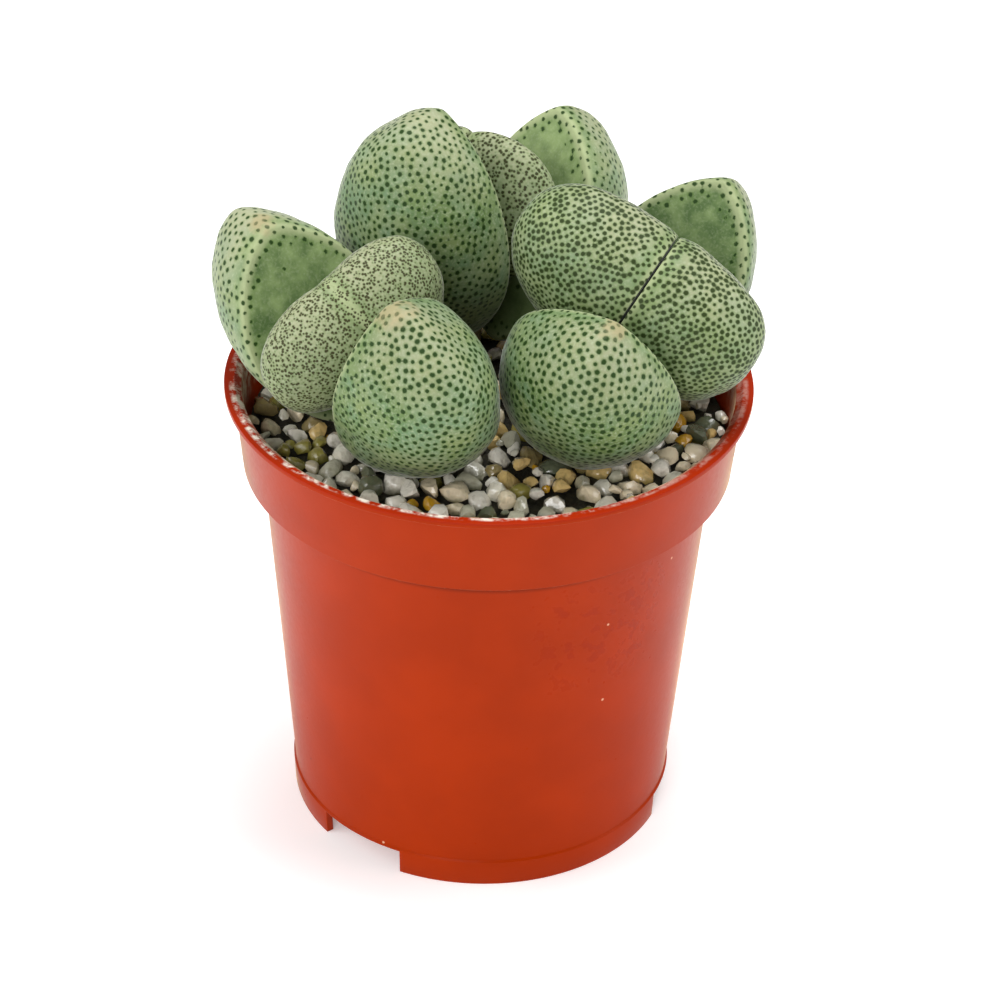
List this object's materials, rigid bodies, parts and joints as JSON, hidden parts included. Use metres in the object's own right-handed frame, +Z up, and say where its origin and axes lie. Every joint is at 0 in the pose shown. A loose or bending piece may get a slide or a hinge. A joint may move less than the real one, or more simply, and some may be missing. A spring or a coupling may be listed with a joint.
{
  "type": "potted split rock succulent",
  "caption": "Small tapered plastic pot of quartz grit holding split rock plants, each with thick dotted leaf pairs set crosswise around a central cleft.",
  "frame": {"origin": "the middle of the footprint of pot and leaves, at the plane the foot stands on, 1.3 mm from the pot's axis", "axes": "+Z up, parallel to the pot's axis, -Y towards the viewer of the picture, +X to that viewer's right"},
  "size_m": [0.0567, 0.0574, 0.0761],
  "materials": {
    "pot_plastic": "satin moulded terracotta-coloured plastic",
    "potting_mix": "dark moist peat and bark",
    "quartz_grit": "damp mixed quartz gravel in white, grey, tan and olive",
    "stem": "dry corky stem",
    "old_leaf": "waxy grey-green skin with dark green dots",
    "young_leaf": "waxy grey-green skin with fine, dense, dark dots"
  },
  "bodies": {
    "root": {"pot": "pot_plastic", "potting_mix": "potting_mix", "grit": "quartz_grit", "stem_left": "stem", "stem_rear": "stem", "stem_right": "stem", "leaf_left_old_back": "old_leaf", "leaf_left_old_front": "old_leaf", "leaf_left_young_front": "young_leaf", "leaf_left_young_back": "young_leaf", "leaf_rear_old_front": "old_leaf", "leaf_rear_old_back": "old_leaf", "leaf_rear_young_back": "young_leaf", "leaf_rear_young_front": "young_leaf", "leaf_right_old_front": "old_leaf", "leaf_right_old_back": "old_leaf", "leaf_right_young_left": "young_leaf", "leaf_right_young_right": "young_leaf"}
  },
  "joints": []
}
